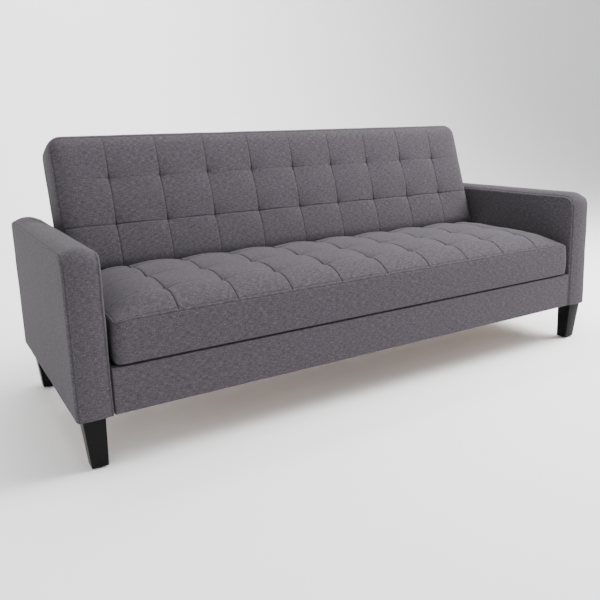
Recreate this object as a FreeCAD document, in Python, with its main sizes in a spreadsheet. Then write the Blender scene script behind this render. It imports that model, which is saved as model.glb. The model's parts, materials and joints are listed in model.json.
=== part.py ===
"""Futon sofa bed: a storage base between two upholstered arms, a lifting seat and a folding back.

Millimetres, +Z up, the front faces -Y, and the origin lies on the floor at the centre of the sofa.
The seat and the back share one pivot line, which runs along X at (pivot_rear, pivot_level).
Back parts are drawn in the frame of that pivot: local z runs up the back and local y to its rear.
"""
import FreeCAD, Part
import Sketcher
import os

DIMENSIONS = {
    # overall
    "overall_width": 2030, "overall_depth": 850, "arm_width": 100, "arm_level": 600,
    "leg_length": 150, "arm_corner": 50, "front_setback": 3,
    # storage box
    "box_depth": 130, "board_thick": 22, "side_board": 18, "floor_thick": 4, "batten_thick": 16,
    "batten_width": 40, "rail_padding": 8, "rail_end_gap": 3, "box_setback": 27,
    # upholstery
    "cloth": 2, "arm_side_wrap": 8, "arm_edge_wrap": 18, "round_spare": 5, "upright_round": 22,
    # arm frame
    "panel_thick": 9, "arm_rail": 60, "arm_top_rail": 40, "post_width": 60,
    # pivot and moving cushions
    "pivot_rear": 139, "seat_thick": 172, "fold_gap": 12, "above_pivot": 40,
    "seat_gap": 8, "frame_depth": 52, "frame_rail": 20, "front_wrap": 18, "side_wrap": 3,
    "cross_place": 270, "slat_width": 60, "slat_thick": 8, "tuft_pitch": 180, "tuft_rows": 169,
    "first_tuft": 112, "tuft_depth": 10, "tie_radius": 1.5, "lining": 1,
    "back_length": 466, "back_thick": 130, "back_tilt": 17.7, "back_top_wrap": 30,
    "back_corner": 40, "back_tuft_rows": 161, "back_panel": 4,
    # hinge
    "plate_thick": 4, "plate_half_width": 18, "plate_gap": 1.5, "pivot_radius": 5,
    "running_gap": 0.06, "bolt_head": 8, "bolt_head_depth": 6, "head_clearance": 0.5,
    "pivot_bite": 40,
    "seat_plate_angle": 135, "back_plate_angle": 30, "screw_radius": 3, "screw_bite": 14,
    "screw_pitch": 30, "screw_end": 14, "screw_head": 7, "screw_head_depth": 4,
    # legs and fasteners
    "leg_top": 60, "leg_taper": 15, "leg_side_inset": 17, "leg_front_inset": 12,
    "leg_rear_inset": 50, "glide_radius": 15, "glide_depth": 4, "leg_bolt": 4,
    "leg_bolt_bite": 45, "nut_radius": 9, "nut_depth": 7,
    "stretcher_place": 115, "stretcher_thick": 30, "stretcher_depth": 55, "box_bolt": 4,
    "box_bolt_level": 35, "box_bolt_inset": 70, "dowel_radius": 5, "dowel_bite": 30,
}
# sizes that follow from the driving dimensions
DERIVED = {
    "half_width": "overall_width / 2",
    "front": "-overall_depth / 2",
    "rear": "overall_depth / 2",
    "arm_inside": "half_width - arm_width",
    "panel_inside": "arm_inside + cloth + arm_side_wrap",
    "panel_outside": "half_width - cloth - arm_side_wrap",
    "frame_inside": "panel_inside + panel_thick",
    "frame_outside": "panel_outside - panel_thick",
    "arm_wrap": "cloth + arm_edge_wrap",
    "arm_frame_top": "arm_level - arm_wrap",
    "cushion_front": "front + front_setback",
    "end_gap": "3 * plate_thick + 2 * plate_gap",
    "cushion_half": "arm_inside - end_gap",
    "board_front": "cushion_front + cloth + rail_padding",
    "box_level": "leg_length + box_depth",
    "board_top": "box_level - cloth",
    "box_front": "board_front + board_thick",
    "box_rear": "pivot_rear - box_setback",
    "box_end": "box_rear - side_board",
    "box_half": "arm_inside - side_board",
    "floor_level": "leg_length + batten_thick",
    "seat_bottom": "box_level + seat_gap",
    "seat_top": "seat_bottom + seat_thick",
    "pivot_level": "seat_top - above_pivot",
    "seat_rear": "pivot_rear - fold_gap",
    "seat_frame_bottom": "seat_bottom + cloth",
    "seat_frame_top": "seat_frame_bottom + frame_depth",
    "seat_frame_front": "cushion_front + cloth + front_wrap",
    "seat_frame_rear": "seat_rear - cloth - side_wrap",
    "frame_half": "cushion_half - cloth - side_wrap",
    "back_front": "-above_pivot",
    "back_rear": "back_thick - above_pivot",
    "back_frame_rear": "back_rear - cloth",
    "back_board": "back_frame_rear - back_panel",
    "back_frame_front": "back_frame_rear - frame_depth",
    "back_frame_foot": "fold_gap + side_wrap",
    "back_frame_top": "back_length - cloth - back_top_wrap",
    "stretcher_front": "pivot_rear + stretcher_place - stretcher_thick / 2",
    "leg_outside": "half_width - leg_side_inset",
    "leg_centre": "leg_outside - leg_top / 2",
    "front_leg_face": "front + leg_front_inset",
    "rear_leg_face": "rear - leg_rear_inset",
    # the front edge of the back and the rear edge of the seat are rounded to fold past each other
    "edge_round": "above_pivot + round_spare",
    # each strap is as long as brings its two screws to the middle of a frame
    "screws_to_end": "screw_end + screw_pitch / 2",
    "seat_frame_drop": "pivot_level - seat_frame_bottom - frame_depth / 2",
    "seat_plate_length": "seat_frame_drop / cos((180 - seat_plate_angle) * 1deg) + screws_to_end",
    "back_frame_middle": "(back_frame_front + back_board) / 2",
    "back_plate_length": "back_frame_middle / sin(back_plate_angle * 1deg) + screws_to_end",
    "bracket_length": "pivot_level - seat_bottom",
    "seat_plate_place": "cushion_half",
    "back_plate_place": "seat_plate_place + plate_thick + plate_gap",
    "bracket_place": "arm_inside - plate_thick",
}
TUFT_COLUMNS = 9
SEAT_TUFT_ROWS = 3
BACK_TUFT_ROWS = (1, 2)
SIDES = {"left": -1, "right": 1}

doc = FreeCAD.newDocument("futon_sofa_bed")
sheet = doc.addObject("Spreadsheet::Sheet", "sizes")
nodes = []


def fill_sheet():
    """Write every driving and derived size to its own cell, with its name as alias."""
    for row, (name, value) in enumerate(DIMENSIONS.items(), start=1):
        sheet.set(f"A{row}", name)
        sheet.set(f"B{row}", str(value))
        sheet.setAlias(f"B{row}", name)
    for row, (name, formula) in enumerate(DERIVED.items(), start=len(DIMENSIONS) + 1):
        sheet.set(f"A{row}", name)
        sheet.set(f"B{row}", f"={formula}")
        sheet.setAlias(f"B{row}", name)
    doc.recompute()


def linked(formula):
    """A formula in size names, with each name pointed at its cell."""
    words, word = [], ""
    for letter in f"{formula} ":
        if letter.isalnum() or letter in "_.":
            word += letter
            continue
        is_size = word[:1].isalpha() and word not in ("sin", "cos")
        words.append(f"sizes.{word}" if is_size else word)
        words.append(letter)
        word = ""
    return "".join(words).strip()


def bind(item, **formulas):
    """Bind properties of an object to the sheet; x, y, z and angle set its placement."""
    paths = {"x": "Placement.Base.x", "y": "Placement.Base.y", "z": "Placement.Base.z",
             "angle": "Placement.Rotation.Angle"}
    for name, formula in formulas.items():
        item.setExpression(paths.get(name, name), linked(formula))
    return item


def keep(item, label):
    """Make an object a sub-part of the sofa, under its own name."""
    item.Label = label
    nodes.append(item)
    return item


def block(x, y, z):
    """A box from three (start, end) pairs of formulas."""
    item = doc.addObject("Part::Box", "block")
    return bind(item, x=x[0], y=y[0], z=z[0], Length=f"({x[1]}) - ({x[0]})",
                Width=f"({y[1]}) - ({y[0]})", Height=f"({z[1]}) - ({z[0]})")


def rod(axis, radius, x, y, z, length):
    """A cylinder that starts at a point and runs along +X or +Z."""
    item = doc.addObject("Part::Cylinder", "rod")
    if axis == "x":
        item.Placement.Rotation = FreeCAD.Rotation(FreeCAD.Vector(0, 1, 0), 90)
    return bind(item, x=x, y=y, z=z, Radius=radius, Height=length)


def across(side, radius, start, y, z, length):
    """A cylinder along X that starts at a distance from the middle and runs outward on one side."""
    x = start if side > 0 else f"-({start}) - ({length})"
    return rod("x", radius, x, y, z, length)


def span(side, near, far):
    """An (x start, x end) pair between two distances from the middle, on one side."""
    return (near, far) if side > 0 else (f"-({far})", f"-({near})")


def group(items):
    """Several solids held as one object."""
    item = doc.addObject("Part::Compound", "group")
    item.Links = items
    return item


def cut(base, *tools):
    """A piece with other shapes taken out of it."""
    for tool in tools:
        result = doc.addObject("Part::Cut", "cut")
        result.Base = base
        result.Tool = tool
        base = result
    return base


def rounded(base, radius, choose):
    """Round the edges that the test picks, with a radius read from the sheet."""
    doc.recompute()
    item = doc.addObject("Part::Fillet", "rounded")
    item.Base = base
    size = float(sheet.get(radius))
    item.Edges = [(number, size, size) for number, edge in enumerate(base.Shape.Edges, start=1)
                  if choose(edge.BoundBox)]
    return item


def upright(item):
    """Stand a piece drawn in the frame of the pivot up at the tilt of the back."""
    holder = group([item])
    holder.Placement.Rotation = FreeCAD.Rotation(FreeCAD.Vector(-1, 0, 0), 1)
    return bind(holder, y="pivot_rear", z="pivot_level", angle="back_tilt")


def along_x(edge):
    """True for an edge that runs along X only."""
    return edge.YLength < 0.1 and edge.ZLength < 0.1


def along_y(edge):
    """True for an edge that runs along Y only."""
    return edge.XLength < 0.1 and edge.ZLength < 0.1


def along_z(edge):
    """True for an edge that runs along Z only."""
    return edge.XLength < 0.1 and edge.YLength < 0.1


# --- storage base -------------------------------------------------------------------------------
def box_bolt_shafts(side, radius, start, length):
    """The three bolt shafts, or holes, that join a box side to its arm."""
    places = ["box_front + box_bolt_inset", "(box_front + box_end) / 2", "box_end - box_bolt_inset"]
    return [across(side, radius, start, y, "leg_length + box_bolt_level", length) for y in places]


def storage_box():
    """Front board with its padded cover, rear board, sides, battens and floor."""
    front_x = ("-arm_inside + rail_end_gap", "arm_inside - rail_end_gap")
    board_z = ("leg_length + cloth", "board_top")
    keep(block(front_x, ("board_front", "box_front"), board_z), "front_rail_board")
    keep(block(front_x, ("cushion_front + cloth", "board_front"), board_z), "front_rail_padding")
    wrap = block(front_x, ("cushion_front", "box_front"), ("leg_length", "box_level"))
    core = block(("-arm_inside", "arm_inside"), ("cushion_front + cloth", "box_front + 1"), board_z)
    keep(cut(wrap, core), "front_rail_cover")
    keep(block(("-arm_inside", "arm_inside"), ("box_end", "box_rear"), ("leg_length", "box_level")),
         "rear_box_board")
    for name, side in SIDES.items():
        board = block(span(side, "box_half", "arm_inside"), ("box_front", "box_end"),
                      ("leg_length", "box_level"))
        holes = box_bolt_shafts(side, "box_bolt", "box_half", "side_board")
        keep(cut(board, group(holes)), f"{name}_box_side")
    batten_x = [span(side, "box_half - batten_width", "box_half") for side in SIDES.values()]
    batten_x.append(("-batten_width / 2", "batten_width / 2"))
    battens = [block(x, ("box_front", "box_end"), ("leg_length", "floor_level")) for x in batten_x]
    keep(group(battens), "floor_battens")
    keep(block(("-box_half", "box_half"), ("box_front", "box_end"),
               ("floor_level", "floor_level + floor_thick")), "box_floor")


def box_bolts():
    """Bolts with round heads inside the box, driven into the lower rail of each arm."""
    bolts = []
    for side in SIDES.values():
        shafts = box_bolt_shafts(side, "box_bolt", "box_half", "frame_outside - box_half")
        heads = box_bolt_shafts(side, "box_bolt * 2", "box_half - screw_head_depth",
                                "screw_head_depth")
        bolts += shafts + heads
    keep(group(bolts), "box_bolts")


def rear_stretcher():
    """Low beam that ties the two arms together behind the box, with a dowel at each end."""
    y = ("stretcher_front", "stretcher_front + stretcher_thick")
    beam = block(("-arm_inside", "arm_inside"), y, ("leg_length", "leg_length + stretcher_depth"))
    holes = [dowel(side, "arm_inside - dowel_bite", "dowel_bite") for side in SIDES.values()]
    keep(cut(beam, group(holes)), "rear_stretcher")
    length = "dowel_bite + frame_outside - arm_inside"
    pins = [dowel(side, "arm_inside - dowel_bite", length) for side in SIDES.values()]
    keep(group(pins), "stretcher_dowels")


def dowel(side, start, length):
    """A dowel, or its hole, at one end of the stretcher."""
    return across(side, "dowel_radius", start, "pivot_rear + stretcher_place",
                  "leg_length + stretcher_depth / 2", length)


# --- arms ---------------------------------------------------------------------------------------
def arm_block(side, inset, foot):
    """The solid outline of an arm, drawn in by an inset, with its two top corners rounded."""
    item = block(span(side, f"arm_inside + {inset}", f"half_width - {inset}"),
                 (f"front + {inset}", f"rear - {inset}"), (foot, f"arm_level - {inset}"))
    doc.recompute()
    top = item.Shape.BoundBox.ZMax
    shape = rounded(item, "arm_corner", lambda edge: along_x(edge) and edge.ZMin > top - 1)
    return shape


def arm_holes(side):
    """Everything that passes into an arm from the inside: box bolts, dowel and pivot bolt."""
    shafts = box_bolt_shafts(side, "box_bolt", "arm_inside", "arm_width / 2")
    shafts.append(dowel(side, "arm_inside", "arm_width / 2"))
    shafts.append(across(side, "pivot_radius", "arm_inside", "pivot_rear", "pivot_level",
                         "pivot_bite"))
    return group(shafts)


def bolt_places(side):
    """Plan positions of the front and the rear leg bolt of one arm."""
    x = "leg_centre" if side > 0 else "-leg_centre"
    return [(x, "front_leg_face + leg_top / 2"), (x, "rear_leg_face - leg_top / 2")]


def arm(name, side):
    """One arm: timber frame, a panel on each side, foam round it and a sewn cover."""
    frame_x = span(side, "frame_inside", "frame_outside")
    frame_y = ("front + arm_wrap", "rear - arm_wrap")
    bores = [rod("z", "leg_bolt", x, y, "leg_length", "arm_rail") for x, y in bolt_places(side)]
    across_bores = box_bolt_shafts(side, "box_bolt", "frame_inside", "frame_outside - frame_inside")
    across_bores.append(dowel(side, "frame_inside", "frame_outside - frame_inside"))
    rail = block(frame_x, frame_y, ("leg_length", "leg_length + arm_rail"))
    keep(cut(rail, group(bores + across_bores)), f"{name}_arm_lower_rail")
    keep(block(frame_x, ("front + arm_corner", "rear - arm_corner"),
               ("arm_frame_top - arm_top_rail", "arm_frame_top")), f"{name}_arm_top_rail")
    post_z = ("leg_length + arm_rail", "arm_frame_top - arm_top_rail")
    posts = [(frame_y[0], f"{frame_y[0]} + post_width"), (f"{frame_y[1]} - post_width", frame_y[1]),
             ("pivot_rear - post_width / 2", "pivot_rear + post_width / 2")]
    holes = [rod("z", "nut_radius", x, y, "leg_length + arm_rail", "nut_depth")
             for x, y in bolt_places(side)]
    holes.append(across(side, "pivot_radius", "arm_inside", "pivot_rear", "pivot_level",
                        "pivot_bite"))
    keep(group([cut(block(frame_x, post_y, post_z), group(holes)) for post_y in posts]),
         f"{name}_arm_posts")
    panel_z = ("leg_length", "arm_frame_top")
    inner = block(span(side, "panel_inside", "frame_inside"), frame_y, panel_z)
    keep(cut(inner, arm_holes(side)), f"{name}_arm_inner_panel")
    keep(block(span(side, "frame_outside", "panel_outside"), frame_y, panel_z),
         f"{name}_arm_outer_panel")
    core = block(span(side, "panel_inside", "panel_outside"), frame_y,
                 ("leg_length - 1", "arm_frame_top"))
    keep(cut(arm_block(side, "cloth", "leg_length"), core, arm_holes(side)), f"{name}_arm_foam")
    keep(cut(arm_block(side, "0", "leg_length"), arm_block(side, "cloth", "leg_length - 1"),
             arm_holes(side)), f"{name}_arm_cover")


# --- legs ---------------------------------------------------------------------------------------
def leg(name, side, end):
    """A square leg whose outer and end faces taper towards the floor.

    The wedge grows along its own Y, so it is turned up; its Z then points to the front.
    """
    item = doc.addObject("Part::Wedge", "leg")
    item.Placement.Rotation = FreeCAD.Rotation(FreeCAD.Vector(1, 0, 0), 90)
    top_x = span(side, "leg_outside - leg_top", "leg_outside")
    foot_x = span(side, "leg_outside - leg_top", "leg_outside - leg_taper")
    if end < 0:
        top_z = ("-front_leg_face - leg_top", "-front_leg_face")
        foot_z = (top_z[0], f"{top_z[1]} - leg_taper")
    else:
        top_z = ("-rear_leg_face", "-rear_leg_face + leg_top")
        foot_z = (f"{top_z[0]} + leg_taper", top_z[1])
    bind(item, Ymin="glide_depth", Ymax="leg_length", Xmin=foot_x[0], Xmax=foot_x[1],
         X2min=top_x[0], X2max=top_x[1], Zmin=foot_z[0], Zmax=foot_z[1], Z2min=top_z[0],
         Z2max=top_z[1])
    bores = [rod("z", "leg_bolt", x, y, "leg_length - leg_bolt_bite", "leg_bolt_bite + 1")
             for x, y in bolt_places(side)]
    keep(cut(item, group(bores)), name)


def legs():
    """Four legs, with their glides, bolts and nuts."""
    glides, bolts, nuts = [], [], []
    for name, side in SIDES.items():
        leg(f"{name}_front_leg", side, -1)
        leg(f"{name}_rear_leg", side, 1)
        for number, (x, y) in enumerate(bolt_places(side)):
            foot_x = f"{x} - leg_taper / 2" if side > 0 else f"{x} + leg_taper / 2"
            foot_y = f"{y} + leg_taper / 2" if number == 0 else f"{y} - leg_taper / 2"
            glides.append(rod("z", "glide_radius", foot_x, foot_y, "0", "glide_depth"))
            bolts.append(rod("z", "leg_bolt", x, y, "leg_length - leg_bolt_bite",
                             "leg_bolt_bite + arm_rail + nut_depth"))
            nut = rod("z", "nut_radius", x, y, "leg_length + arm_rail", "nut_depth")
            bore = rod("z", "leg_bolt", x, y, "leg_length + arm_rail", "nut_depth")
            nuts.append(cut(nut, bore))
    keep(group(glides), "leg_glides")
    keep(group(bolts), "leg_bolts")
    keep(group(nuts), "leg_nuts")


# --- cushions -----------------------------------------------------------------------------------
def seat_block(inset, foot):
    """The seat's outline: both top long edges and the two front uprights are rounded."""
    item = block((f"-cushion_half + {inset}", f"cushion_half - {inset}"),
                 (f"cushion_front + {inset}", f"seat_rear - {inset}"), (foot, f"seat_top - {inset}"))
    doc.recompute()
    box = item.Shape.BoundBox
    item = rounded(item, "upright_round", lambda edge: along_z(edge) and edge.YMax < box.YMin + 1)
    return rounded(item, "edge_round", lambda edge: along_x(edge) and edge.ZMin > box.ZMax - 1
                   and edge.YMin > box.YMax - 1)


def seat():
    """The seat: timber frame, slats, foam with a row of ties, cover, lining and hinge plates."""
    frame_z = ("seat_frame_bottom", "seat_frame_top")
    full_x = ("-frame_half", "frame_half")
    rails = {"front": ("seat_frame_front", "seat_frame_front + frame_rail"),
             "rear": ("seat_frame_rear - frame_rail", "seat_frame_rear")}
    keep(group([block(full_x, rail_y, frame_z) for rail_y in rails.values()]), "seat_long_rails")
    inside_y = (rails["front"][1], rails["rear"][0])
    keep(group([block(span(side, "frame_half - frame_rail", "frame_half"), inside_y, frame_z)
                for side in SIDES.values()]), "seat_end_rails")
    low_z = ("seat_frame_bottom", "seat_frame_top - slat_thick")
    crossing = [block(span(side, "cross_place - frame_rail / 2", "cross_place + frame_rail / 2"),
                      inside_y, low_z) for side in SIDES.values()]
    keep(group(crossing), "seat_cross_rails")
    slats = [block((f"{column} - slat_width / 2", f"{column} + slat_width / 2"), inside_y,
                   (low_z[1], frame_z[1])) for column in tuft_columns()]
    keep(group(slats), "seat_slats")
    hollow = block(full_x, ("seat_frame_front", "seat_frame_rear"),
                   ("seat_bottom - 1", "seat_frame_top"))
    keep(cut(seat_block("cloth", "seat_bottom + cloth"), hollow), "seat_foam")
    keep(cut(seat_block("0", "seat_bottom"), seat_block("cloth", "seat_bottom - 1")), "seat_cover")
    keep(block(full_x, ("seat_frame_front", "seat_frame_rear"),
               ("seat_frame_bottom - lining", "seat_frame_bottom")), "seat_lining")
    ties = [rod("z", "tie_radius", column, f"front + first_tuft + {row} * tuft_rows",
                "seat_frame_top", "seat_top - tuft_depth - seat_frame_top")
            for column in tuft_columns() for row in range(SEAT_TUFT_ROWS)]
    keep(group(ties), "seat_tuft_ties")


def back_block(inset, foot):
    """The back's outline in the frame of the pivot, with rounded long edges and top corners."""
    item = block((f"-cushion_half + {inset}", f"cushion_half - {inset}"),
                 (f"back_front + {inset}", f"back_rear - {inset}"),
                 (foot, f"back_length - {inset}"))
    doc.recompute()
    box = item.Shape.BoundBox
    item = rounded(item, "back_corner", lambda edge: along_y(edge) and edge.ZMin > box.ZMax - 1)
    return rounded(item, "edge_round", lambda edge: along_x(edge) and edge.ZMax < box.ZMin + 1
                   and edge.YMax < box.YMin + 1)


def back():
    """The folding back, built as the seat is and then stood up at its tilt."""
    frame_y = ("back_frame_front", "back_board")
    full_x = ("-frame_half", "frame_half")
    rails = {"lower": ("back_frame_foot", "back_frame_foot + frame_rail"),
             "top": ("back_frame_top - frame_rail", "back_frame_top")}
    long_rails = [block(full_x, frame_y, rail_z) for rail_z in rails.values()]
    keep(upright(group(long_rails)), "back_long_rails")
    inside_z = (rails["lower"][1], rails["top"][0])
    end_rails = [block(span(side, "frame_half - frame_rail", "frame_half"), frame_y, inside_z)
                 for side in SIDES.values()]
    keep(upright(group(end_rails)), "back_end_rails")
    slat_y = (frame_y[0], f"{frame_y[0]} + slat_thick")
    crossing = [block(span(side, "cross_place - frame_rail / 2", "cross_place + frame_rail / 2"),
                      (slat_y[1], frame_y[1]), inside_z) for side in SIDES.values()]
    keep(upright(group(crossing)), "back_cross_rails")
    slats = [block((f"{column} - slat_width / 2", f"{column} + slat_width / 2"), slat_y, inside_z)
             for column in tuft_columns()]
    keep(upright(group(slats)), "back_slats")
    keep(upright(block(full_x, ("back_board", "back_frame_rear"),
                       ("back_frame_foot", "back_frame_top"))), "back_panel")
    hollow = block(full_x, ("back_frame_front", "back_rear"), ("fold_gap - 1", "back_frame_top"))
    keep(upright(cut(back_block("cloth", "fold_gap + cloth"), hollow)), "back_foam")
    shell = cut(back_block("0", "fold_gap"), back_block("cloth", "fold_gap - 1"))
    keep(upright(shell), "back_cover")
    ties = []
    for column in tuft_columns():
        for row in BACK_TUFT_ROWS:
            item = doc.addObject("Part::Cylinder", "rod")
            item.Placement.Rotation = FreeCAD.Rotation(FreeCAD.Vector(1, 0, 0), 90)
            ties.append(bind(item, x=column, y="back_frame_front", z=f"{row} * back_tuft_rows",
                             Radius="tie_radius",
                             Height="back_frame_front - back_front - tuft_depth"))
    keep(upright(group(ties)), "back_tuft_ties")


def tuft_columns():
    """Distances from the middle of the tuft columns, as formulas."""
    return [f"{number - TUFT_COLUMNS // 2} * tuft_pitch" for number in range(TUFT_COLUMNS)]


# --- hinges -------------------------------------------------------------------------------------
def strap(label, side, place, length, angle):
    """A flat steel strap from the pivot: one round end, a bore and two screw holes.

    The sketch lies in the body's YZ plane with the pivot at its origin and the strap along +Z;
    the body is then turned about the pivot line by its angle.
    """
    body = doc.addObject("PartDesign::Body", "strap")
    sketch = body.newObject("Sketcher::SketchObject", "outline")
    plane = next(item for item in body.Origin.OriginFeatures if item.Role == "YZ_Plane")
    sketch.AttachmentSupport = [(plane, "")]
    sketch.MapMode = "FlatFace"
    half, reach = float(sheet.get("plate_half_width")), float(sheet.get(length))
    up, corners = FreeCAD.Vector(0, 0, 1), [(half, 0), (half, reach), (-half, reach), (-half, 0)]
    points = [FreeCAD.Vector(x, y, 0) for x, y in corners]
    for start, end in zip(points, points[1:]):
        sketch.addGeometry(Part.LineSegment(start, end))
    circle = Part.Circle(FreeCAD.Vector(0, 0, 0), up, half)
    sketch.addGeometry(Part.ArcOfCircle(circle, 3.141592653589793, 6.283185307179586))
    add = sketch.addConstraint
    add([Sketcher.Constraint("Coincident", 0, 2, 1, 1), Sketcher.Constraint("Coincident", 1, 2, 2, 1),
         Sketcher.Constraint("Vertical", 0), Sketcher.Constraint("Horizontal", 1),
         Sketcher.Constraint("Vertical", 2), Sketcher.Constraint("Coincident", 3, 3, -1, 1),
         Sketcher.Constraint("Tangent", 2, 2, 3, 1), Sketcher.Constraint("Tangent", 0, 1, 3, 2)])
    sketch.setExpression(f"Constraints[{add(Sketcher.Constraint('Radius', 3, half))}]",
                         linked("plate_half_width"))
    reach_rule = add(Sketcher.Constraint("DistanceY", -1, 1, 0, 2, reach))
    sketch.setExpression(f"Constraints[{reach_rule}]", linked(length))
    holes = [("0", "pivot_radius + running_gap")]
    holes += [(f"{length} - screw_end", "screw_radius"),
              (f"{length} - screw_end - screw_pitch", "screw_radius")]
    for number, (distance, radius) in enumerate(holes, start=4):
        centre = FreeCAD.Vector(0, 10 + 20 * number if number > 4 else 0, 0)
        sketch.addGeometry(Part.Circle(centre, up, 3))
        rule = add(Sketcher.Constraint("Radius", number, 3))
        sketch.setExpression(f"Constraints[{rule}]", linked(radius))
        if distance == "0":
            add(Sketcher.Constraint("Coincident", number, 3, -1, 1))
            continue
        add(Sketcher.Constraint("PointOnObject", number, 3, -2))
        rule = add(Sketcher.Constraint("DistanceY", -1, 1, number, 3, centre.y))
        sketch.setExpression(f"Constraints[{rule}]", linked(distance))
    pad = body.newObject("PartDesign::Pad", "plate")
    pad.Profile = sketch
    bind(pad, Length="plate_thick")
    body.Placement.Rotation = FreeCAD.Rotation(FreeCAD.Vector(-1, 0, 0), 1)
    x = place if side > 0 else f"-({place}) - plate_thick"
    keep(bind(body, x=x, y="pivot_rear", z="pivot_level", angle=angle), label)


def screw_places(length, angle):
    """The (y, z) of the two screw holes of a strap turned by its angle."""
    distances = (f"{length} - screw_end", f"{length} - screw_end - screw_pitch")
    return [(f"pivot_rear + ({distance}) * sin(({angle}) * 1deg)",
             f"pivot_level + ({distance}) * cos(({angle}) * 1deg)") for distance in distances]


def hinges():
    """Brackets, seat straps and back straps on a pivot bolt at each end, with their screws."""
    seat_angle, back_angle = "0 - seat_plate_angle", "back_tilt + back_plate_angle"
    pivot_bolts, seat_screws, back_screws, bracket_screws, spacers = [], [], [], [], []
    for name, side in SIDES.items():
        strap(f"{name}_hinge_bracket", side, "bracket_place", "bracket_length", "180")
        strap(f"{name}_seat_strap", side, "seat_plate_place", "seat_plate_length", seat_angle)
        strap(f"{name}_back_strap", side, "back_plate_place", "back_plate_length", back_angle)
        pivot = ("pivot_rear", "pivot_level")
        under_head = "seat_plate_place - head_clearance"
        head = across(side, "bolt_head", f"{under_head} - bolt_head_depth", *pivot, "bolt_head_depth")
        shank = across(side, "pivot_radius", under_head, *pivot,
                       "head_clearance + end_gap + pivot_bite")
        pivot_bolts += [head, shank]
        point = "frame_half - screw_bite"
        for place in screw_places("seat_plate_length", seat_angle):
            length = f"seat_plate_place + plate_thick - ({point})"
            seat_screws.append(across(side, "screw_radius", point, *place, length))
        for place in screw_places("back_plate_length", back_angle):
            length = f"back_plate_place + plate_thick - ({point})"
            back_screws.append(across(side, "screw_radius", point, *place, length))
            stand_off = "back_plate_place - cushion_half"
            sleeve = across(side, "screw_head", "cushion_half", *place, stand_off)
            bore = across(side, "screw_radius", "cushion_half", *place, stand_off)
            spacers.append(cut(sleeve, bore))
        for place in screw_places("bracket_length", "180"):
            head_start = "bracket_place - screw_head_depth"
            bracket_screws += [
                across(side, "screw_head", head_start, *place, "screw_head_depth"),
                across(side, "screw_radius", "bracket_place", *place, "plate_thick")]
    keep(group(pivot_bolts), "pivot_bolts")
    keep(group(seat_screws), "seat_strap_screws")
    keep(group(back_screws), "back_strap_screws")
    keep(group(spacers), "back_strap_spacers")
    keep(group(bracket_screws), "bracket_screws")


def check_and_export():
    """Refuse any failed object or bad solid, then write one STEP file for each sub-part."""
    doc.recompute()
    failed = [item.Name for item in doc.Objects if {"Invalid", "Error"} & set(item.State)]
    if failed:
        raise RuntimeError(f"objects that failed: {failed}")
    for item in nodes:
        if item.Shape.isNull() or not item.Shape.isValid() or not item.Shape.Solids:
            raise RuntimeError(f"bad shape: {item.Label}")
    os.makedirs("parts", exist_ok=True)
    for item in nodes:
        item.Shape.exportStep(f"parts/{item.Label}.step")
    print(f"{len(nodes)} sub-parts written")


fill_sheet()
storage_box()
box_bolts()
rear_stretcher()
for arm_name, arm_side in SIDES.items():
    arm(arm_name, arm_side)
legs()
seat()
back()
hinges()
check_and_export()
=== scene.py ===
"""Futon sofa bed, dressed: tufted seat and back, upholstered arms and rail, lacquered legs.

Every soft piece is a closed shell laid out on a lattice: its plan is its two long sides and its
thickness is the third. A lattice line runs along every seam and every row of tufts, so the seams
and stitches lie on real edges of the mesh. Lengths are metres.
"""

import json
import logging
import math
from dataclasses import dataclass, field
from enum import Enum

import bpy
import numpy as np
from mathutils import Matrix, Vector, noise


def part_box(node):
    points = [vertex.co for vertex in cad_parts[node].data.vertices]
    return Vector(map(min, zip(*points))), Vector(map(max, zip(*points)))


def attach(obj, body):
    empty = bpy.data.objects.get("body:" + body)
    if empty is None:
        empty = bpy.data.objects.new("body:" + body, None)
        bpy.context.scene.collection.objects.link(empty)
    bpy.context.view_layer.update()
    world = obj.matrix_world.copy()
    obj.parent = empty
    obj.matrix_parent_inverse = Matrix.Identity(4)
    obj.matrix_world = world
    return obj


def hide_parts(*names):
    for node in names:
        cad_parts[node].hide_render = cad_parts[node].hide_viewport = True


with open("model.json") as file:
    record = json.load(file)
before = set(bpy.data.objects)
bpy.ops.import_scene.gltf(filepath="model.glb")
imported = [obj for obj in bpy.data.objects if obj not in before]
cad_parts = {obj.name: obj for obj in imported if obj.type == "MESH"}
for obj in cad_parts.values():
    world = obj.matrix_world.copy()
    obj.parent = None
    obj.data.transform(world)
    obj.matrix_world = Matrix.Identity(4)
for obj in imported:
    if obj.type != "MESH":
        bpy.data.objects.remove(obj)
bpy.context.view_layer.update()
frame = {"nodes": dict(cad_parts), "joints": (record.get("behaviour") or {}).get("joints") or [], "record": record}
MM = 0.001
HAIR = 1e-6  # lengths closer than this are the same place
log = logging.getLogger("sofa")
noise.seed_set(1)  # without a seed the drift of the cloth would follow the clock


# --- finishes -----------------------------------------------------------------------------------
def linear(code: str) -> tuple[float, float, float, float]:
    """Turn an sRGB hex colour into linear RGBA.

    Args:
        code: six hex digits, such as "7a7579".

    Returns:
        The four linear channels, alpha 1.
    """
    parts = [int(code[i:i + 2], 16) / 255 for i in (0, 2, 4)]
    red, green, blue = (c / 12.92 if c <= 0.04045 else ((c + 0.055) / 1.055) ** 2.4 for c in parts)
    return red, green, blue, 1.0


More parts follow.
